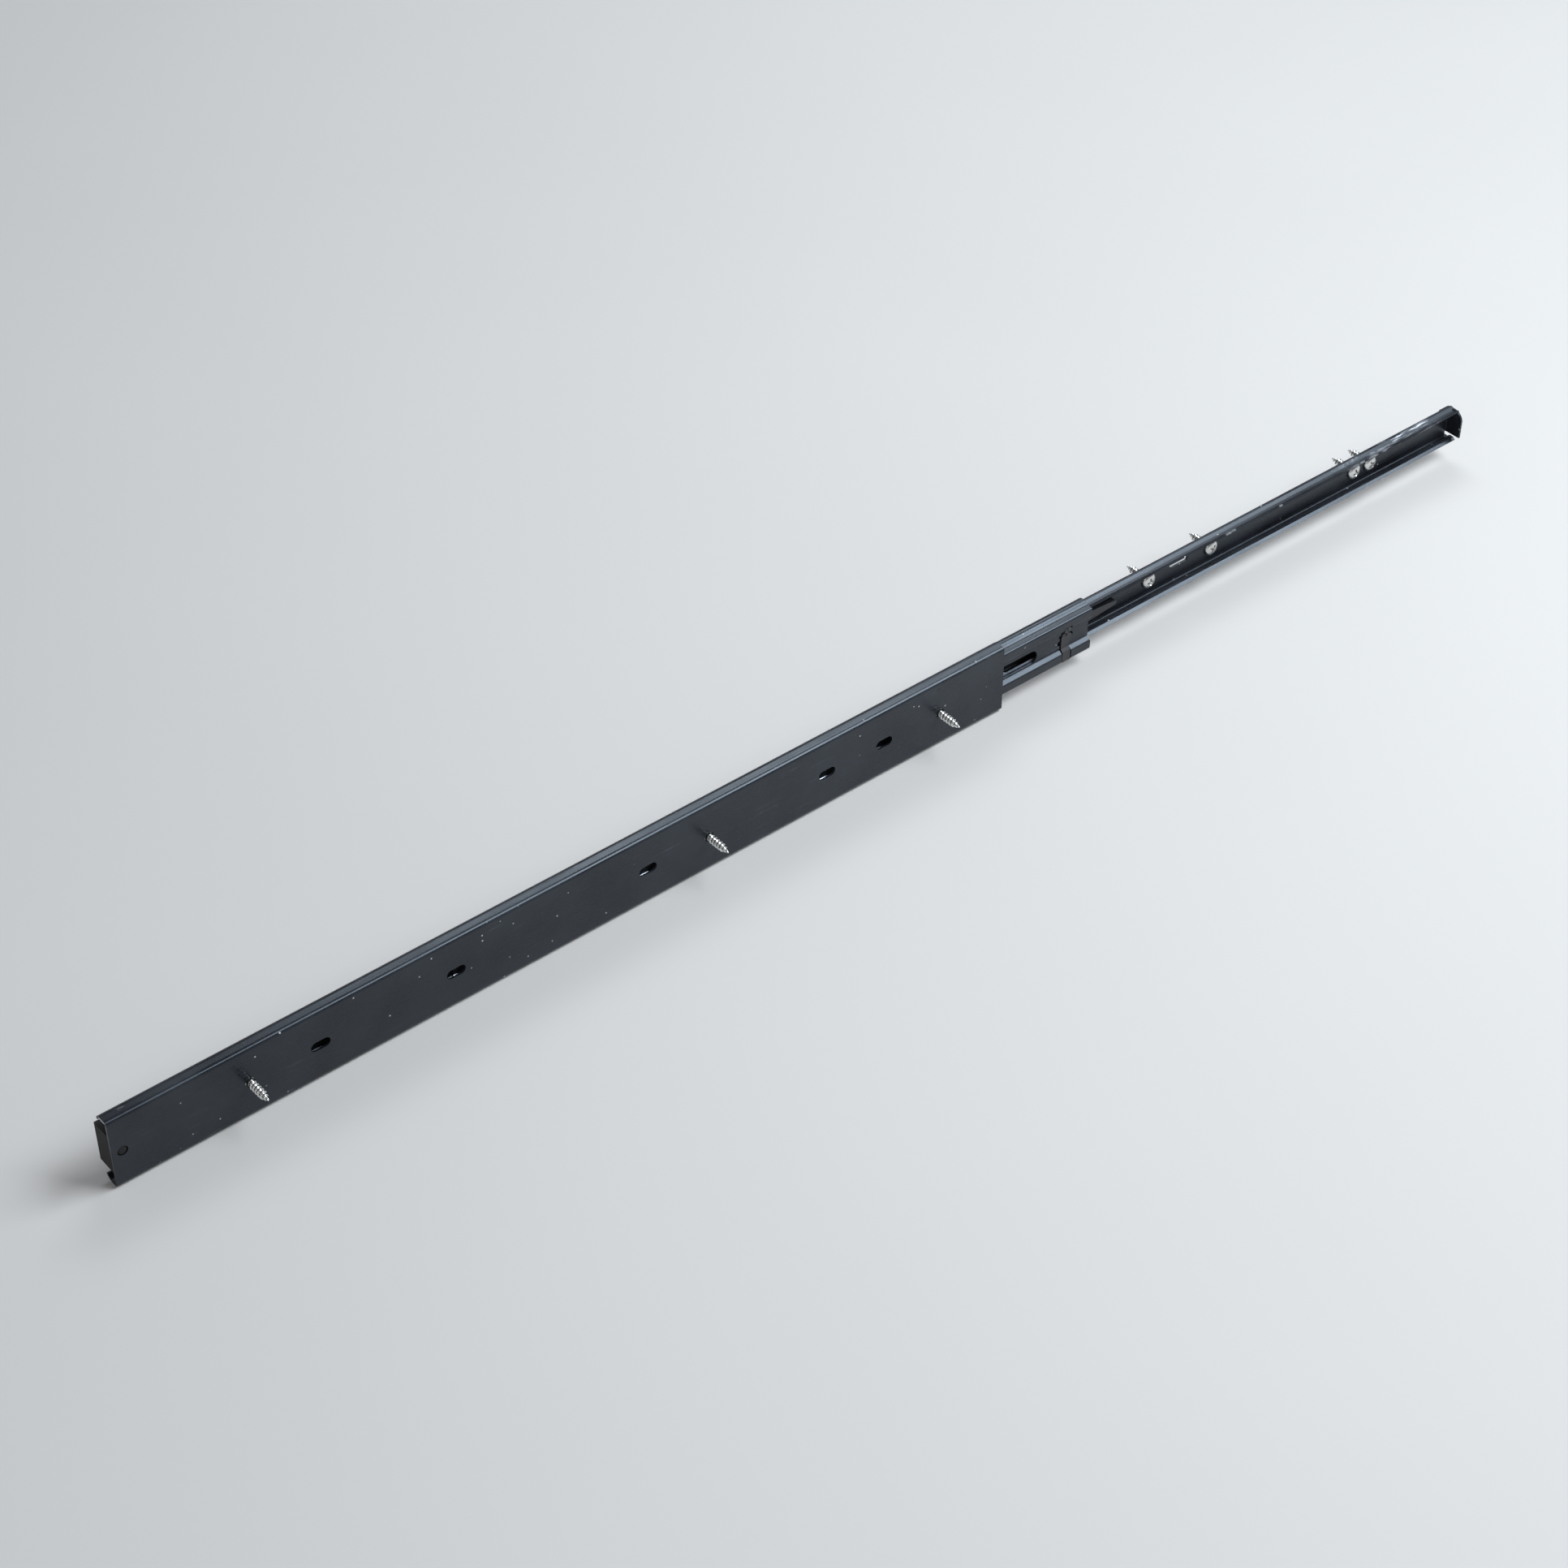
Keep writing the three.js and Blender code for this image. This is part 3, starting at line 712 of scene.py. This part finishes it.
def front_clip():
    """An arm in the notch, with head and foot level with the rails, held by a plate behind."""
    arm_line = bent_line([
        (CLIP_RAIL_Y, CLIP_TOP - 0.1),
        (CLIP_RAIL_Y, 5.0, BEND),
        (CLIP_ARM_Y, 3.7, BEND),
        (CLIP_ARM_Y, -4.7, BEND),
        (CLIP_RAIL_Y, -6.4, BEND),
        (CLIP_RAIL_Y, -11.2),
    ])
    made = sheet_along_x("front_clip_moulding", arm_line, CLIP_SHEET, CLIP_X - 6, CLIP_X + 6)
    keep_inside(made, along_y("outline", arm_outline(0), 0, 6))
    neck = block("neck", (CLIP_X - 1.6, 4.1, -1.5), (CLIP_X + 1.6, 5.4, 3.4))
    plate = block("plate", (CLIP_X - 1.6, 5.15, -4.4), (MIDDLE_HIGH.x - 3, 5.65, 4.8))
    nubs = [clip_nub(CLIP_X + 0.5, 6.0, 2.1), clip_nub(CLIP_X + 1.0, 2.2, 3.5)]
    weld(made, neck, plate, *nubs)
    soften(made, 0.16, 3)
    fit(made, "front_clip", PLASTIC)


# ---- inner channel -------------------------------------------------------------------------

TAB_LOW, TAB_HIGH, TAB_NEAR, TAB_CORNER = -5.4, 8.6, 3.2, 5.5


def inner_section():
    groove = INNER_BALL.z - race(INNER_BALL_RADIUS) + 0.1
    return mirrored(bent_line([
        (DEPTH - SHEET / 2, 0),
        (DEPTH - SHEET / 2, 8.5, 1.2),
        (10.6, 8.5, 0.5),
        (INNER_BALL.y + 0.9, groove, 0.8),
        (INNER_BALL.y - 0.9, groove, 0.8),
        (6.2, 8.35),
    ]))


def front_tab():
    """The strip of web bent across the front end, with its free upper corner rounded."""
    front = INNER_HIGH.x
    line = bent_line([
        (DEPTH - SHEET / 2, front - 7),
        (DEPTH - SHEET / 2, front - SHEET / 2, 1.0),
        (TAB_NEAR, front - SHEET / 2),
    ])
    sides = two_sides(line, SHEET)
    outline = [(p.y, p.x) for p in sides[0] + sides[1][::-1]]
    tab = along_z("tab", outline, TAB_LOW, TAB_HIGH)
    corner = arc((TAB_NEAR + TAB_CORNER, TAB_HIGH - TAB_CORNER), TAB_CORNER, 90, 180, 16)
    rounded = [(DEPTH + 1, TAB_LOW - 1), (DEPTH + 1, TAB_HIGH), *corner, (TAB_NEAR, TAB_LOW - 1)]
    return keep_inside(tab, along_x("outline", rounded, front - 9, front + 1))


WEB_THROUGH = (11, 14)
SMALL_SLOT_BACK = 183.5
RIVET_HOLE = 4.2


def inner_channel():
    channel = sheet_along_x("inner_channel_steel", inner_section(), SHEET, INNER_LOW.x, INNER_HIGH.x)
    # The web's end makes room for the bend of the tab
    cut(channel, block("cutter", (INNER_HIGH.x - 1.3, 11.4, -8), (INNER_HIGH.x + 2, 14, 20)))
    weld(channel, front_tab())
    cutters = []
    for i in (1, 2, 3, 4):
        cutters.append(slot_cutter(middle(f"drawer_screw_{i}").x, 0, HOLE, HOLE, *WEB_THROUGH))
    cutters.append(slot_cutter(INNER_HIGH.x - SMALL_SLOT_BACK, 1.5, 12, 3.4, *WEB_THROUGH))
    for back in DRAWER_SPARES_BACK:
        cutters.append(slot_cutter(INNER_HIGH.x - back, 0, SPARE_LENGTH, HOLE, *WEB_THROUGH))
    cutters.append(slot_cutter(middle("lever_rivet").x, 0, RIVET_HOLE, RIVET_HOLE, *WEB_THROUGH))
    cut(channel, *cutters)
    soften(channel, EDGE_ROUND, 2, 1)
    fit(channel, "inner_channel", INNER_COAT, EDGE)


# ---- release lever -------------------------------------------------------------------------

LEVER_THICKNESS, LEVER_EYE, LEVER_HOLE = 2.2, 4.2, 4.1
GRIPS = 5


def release_lever():
    """A tapering arm on its rivet, with a grip pad and a springy finger that runs back."""
    x = middle("lever_rivet").x
    high = span("release_lever")[1]
    tip = high.x
    back, face = high.y, high.y - LEVER_THICKNESS
    body = [(a, b) for b, a in arc((0, x), LEVER_EYE, 180, 360, 24)]
    body += [
        (x + 22, 3.4), (x + 42, 2.6), (tip - 1, 1.0), (tip, 0.2), (tip - 0.5, -1.2),
        (x + 44, -3.0), (x + 24, -3.6),
    ]
    made = along_y("release_lever_moulding", body, face, back)
    finger = along_y(
        "finger",
        [(x, -2.4), (x - 10, -3.6), (x - 24, -4.9), (x - 24, -5.6), (x - 9, -4.8), (x, -3.8)],
        face,
        back,
    )
    pad = along_y("pad", obround(x + 34, -0.2, 16, 4.4, 16), face - 0.9, face + 0.2)
    weld(made, finger, pad)
    grips = [
        block("grip", (x + 28 + 3 * k, face - 2, -6), (x + 29 + 3 * k, face - 0.4, 6))
        for k in range(GRIPS)
    ]
    cut(made, slot_cutter(x, 0, LEVER_HOLE, LEVER_HOLE, 0, 14), *grips)
    soften(made, 0.22, 3)
    fit(made, "release_lever", PLASTIC)


def lever_rivet():
    low, high = span("lever_rivet")
    head = low.y + 0.9
    turns = [math.pi / 2 * k / 10 for k in range(10)]
    dome = [(3.0 * math.sin(a), head - 0.9 * math.cos(a)) for a in turns]
    end = high.y
    shank = [(3.0, head), (1.8, head), (1.8, end - 0.15), (1.65, end)]
    hollow = [(0.9, end), (0.6, end - 0.4), (0, end - 0.4)]
    made = turned("lever_rivet_steel", dome + shank + hollow, middle("lever_rivet").x, 0)
    soften(made, 0)
    fit(made, "lever_rivet", SCREW_PLATE)


# ---- cages and balls -----------------------------------------------------------------------

BALL_PLAY = 0.07
WINDOWS, WINDOW_SPACE, WINDOW_WIDTH = 4, 14, 6


def ball_nodes(row):
    numbers = range(1, BALLS_A_ROW + 1)
    return [f"{row}_ball_{side}_{i}" for side in ("upper", "lower") for i in numbers]


def cage(node, row, upper, window_y):
    low, high = span(node)
    reach = radius(f"{row}_ball_upper_1") + BALL_PLAY
    made = sheet_along_x(node + "_plate", mirrored(upper), CAGE_SHEET, low.x, high.x)
    cutters = []
    for name in ball_nodes(row):
        spot = middle(name)
        circle = arc((spot.x, spot.y), reach, 0, 360, 32)[:-1]
        cutters.append(along_z("cutter", circle, spot.z - 1, spot.z + 1))
    length = high.x - low.x
    through = (window_y - 1, window_y + 1)
    for i in range(WINDOWS):
        x = (low.x + high.x) / 2 + (i - (WINDOWS - 1) / 2) * length / WINDOWS
        cutters.append(slot_cutter(x, 0, length / WINDOWS - WINDOW_SPACE, WINDOW_WIDTH, *through))
    cut(made, *cutters)
    soften(made, 0.06, 2)
    fit(made, node, ZINC)


def outer_cage():
    raised, low = 3.6, 1.4
    upper = bent_line([
        (raised, 0),
        (raised, 4.6, 0.4),
        (low, 6.3, 0.4),
        (low, OUTER_BALL.z, 0.6),
        (7.4, OUTER_BALL.z),
    ])
    cage("outer_cage", "outer", upper, raised)


def inner_cage():
    web = 5.55
    upper = bent_line([(web, 0), (web, INNER_BALL.z, 0.5), (11.0, INNER_BALL.z)])
    cage("inner_cage", "inner", upper, web)


def balls(row):
    for name in ball_nodes(row):
        bm = bmesh.new()
        bmesh.ops.create_icosphere(bm, subdivisions=4, radius=radius(name) * MM)
        bmesh.ops.translate(bm, verts=bm.verts, vec=middle(name) * MM)
        made = to_object(name + "_steel", bm)
        made.data.shade_smooth()
        fit(made, name, BALL_STEEL)


# ---- screws --------------------------------------------------------------------------------

HEAD_RADIUS, HEAD_HEIGHT, SCREW_LENGTH = 4.0, 2.0, 14.0
HEAD_STEPS, HEAD_RIM, RECESS_FLOOR = 12, 0.12, 0.75
THREAD_PITCH, THREAD_ROOT, THREAD_CREST, THREAD_NECK = 1.7, 1.35, 1.88, 1.6
SCREW_SIDES, THREAD_STEPS = 40, 110


def thread_radius(depth, turn):
    """The screw's radius at a depth below the head and a turn about its axis."""
    phase = (depth / THREAD_PITCH - turn / (2 * math.pi)) % 1
    ridge = max(0.0, 1 - abs(phase - 0.5) / 0.28)
    start = min(1.0, max(0.0, (depth - 1.5) / 1.0))
    point = min(1.0, max(0.02, (SCREW_LENGTH - depth) / 4.0))
    root = THREAD_ROOT + (THREAD_NECK - THREAD_ROOT) * (1 - start)
    return (root + (THREAD_CREST - root) * ridge * start) * point ** 0.8


def screw(node, outward, turn):
    """A wood screw whose head faces away from outward, +1 or -1 along Y."""
    low, high = span(node)
    seat = low.y + HEAD_HEIGHT if outward > 0 else high.y - HEAD_HEIGHT
    spot = middle(node)
    turns = [2 * math.pi * i / SCREW_SIDES for i in range(SCREW_SIDES)]
    bm = bmesh.new()

    def corner(reach, a, y):
        x, z = spot.x + reach * math.cos(a), spot.z + reach * math.sin(a)
        return bm.verts.new(Vector((x, seat + outward * y, z)) * MM)

    def circle(reach, y):
        return [corner(reach, a, y) for a in turns]

    rings = [[corner(0, 0, -HEAD_HEIGHT)]]
    for k in range(1, HEAD_STEPS):
        a = math.pi / 2 * k / HEAD_STEPS
        reach = HEAD_RADIUS * math.sin(a) ** 0.9
        rings.append(circle(reach, -HEAD_HEIGHT * math.cos(a) ** 0.8 - HEAD_RIM))
    rings.append(circle(HEAD_RADIUS, -0.15))
    rings.append(circle(HEAD_RADIUS - HEAD_RIM, 0.0))
    for k in range(THREAD_STEPS + 1):
        depth = 0.02 + (SCREW_LENGTH - 0.05) * k / THREAD_STEPS
        rings.append([corner(thread_radius(depth, a), a, depth) for a in turns])
    rings.append([corner(0, 0, SCREW_LENGTH)])
    for one, two in zip(rings, rings[1:]):
        join_rings(bm, one, two)
    made = to_object(node + "_steel", bm)
    head_top = seat - outward * (HEAD_HEIGHT + 1)
    floor = seat - outward * RECESS_FLOOR
    for quarter in (0, 1):
        a = math.radians(turn + 90 * quarter)
        made = cut(made, cross_bar(spot, head_top, floor, a))
    soften(made, 0)
    fit(made, node, SCREW_PLATE)


def cross_bar(spot, top, floor, angle):
    """One bar of the cross recess: it narrows and shortens towards its floor."""
    bm = bmesh.new()
    rings = []
    for y, long, wide in ((top, 2.9, 0.62), (floor, 1.1, 0.34)):
        corners = ((-long, -wide), (long, -wide), (long, wide), (-long, wide))
        rings.append([
            bm.verts.new(Vector((
                spot.x + a * math.cos(angle) - b * math.sin(angle),
                y,
                spot.z + a * math.sin(angle) + b * math.cos(angle),
            )) * MM)
            for a, b in corners
        ])
    join_rings(bm, *rings)
    bm.faces.new(rings[0])
    bm.faces.new(rings[1])
    return to_object("cutter", bm)


# ---- build ---------------------------------------------------------------------------------

outer_channel()
rear_bumper()
intermediate_channel()
front_clip()
inner_channel()
release_lever()
lever_rivet()
outer_cage()
inner_cage()
balls("outer")
balls("inner")
for number in (1, 2, 3, 4):
    screw(f"drawer_screw_{number}", 1, random.uniform(0, 90))
for number in (1, 2, 3):
    screw(f"cabinet_screw_{number}", -1, random.uniform(0, 90))


# ---- floor, light and camera ---------------------------------------------------------------

def floor():
    bm = bmesh.new()
    bmesh.ops.create_grid(bm, x_segments=4, y_segments=4, size=8)
    made = to_object("floor", bm)
    made.location.z = cad_box[0].z - 0.0005
    made.data.materials.append(pale_floor())


def softbox(name, place, aim, size, power, colour):
    light = bpy.data.lights.new(name, "AREA")
    light.shape = "RECTANGLE"
    light.size, light.size_y = size
    light.energy = power
    light.color = colour
    made = bpy.data.objects.new(name, light)
    bpy.context.scene.collection.objects.link(made)
    made.location = place
    made.rotation_euler = (Vector(aim) - Vector(place)).to_track_quat("-Z", "Y").to_euler()


def world():
    made = bpy.data.worlds.new("studio")
    made.use_nodes = True
    background = made.node_tree.nodes["Background"]
    background.inputs["Color"].default_value = (0.92, 0.95, 1.0, 1)
    background.inputs["Strength"].default_value = 0.22
    bpy.context.scene.world = made
    bpy.context.scene.view_settings.view_transform = "Standard"


VIEW_AZIMUTH, VIEW_ELEVATION, VIEW_DISTANCE = -39.5, 40.3, 1.4
VIEW_AIM = Vector((-0.046, 0, 0))  # from the middle of the CAD box
LENS = 76


def camera():
    low, high = cad_box
    centre = (low + high) / 2
    a, e = math.radians(VIEW_AZIMUTH), math.radians(VIEW_ELEVATION)
    back = Vector((math.sin(a) * math.cos(e), -math.cos(a) * math.cos(e), math.sin(e)))
    aim = centre + VIEW_AIM
    data = bpy.data.cameras.new("camera")
    data.lens = LENS
    data.sensor_width = 36
    made = bpy.data.objects.new("camera", data)
    bpy.context.scene.collection.objects.link(made)
    made.location = aim + back * VIEW_DISTANCE
    made.rotation_euler = (-back).to_track_quat("-Z", "Y").to_euler()
    bpy.context.scene.camera = made


floor()
softbox("key", (1.05, -0.72, 1.45), (0.15, 0, 0), (1.25, 1.1), 46, (0.90, 0.95, 1.0))
softbox("behind", (1.0, 0.95, 1.25), (0.15, 0, 0), (1.1, 0.5), 9, (0.90, 0.95, 1.0))
softbox("fill", (-1.5, -1.0, 1.1), (0.1, 0, 0), (1.0, 1.0), 6, (1.0, 0.98, 0.95))
world()
camera()
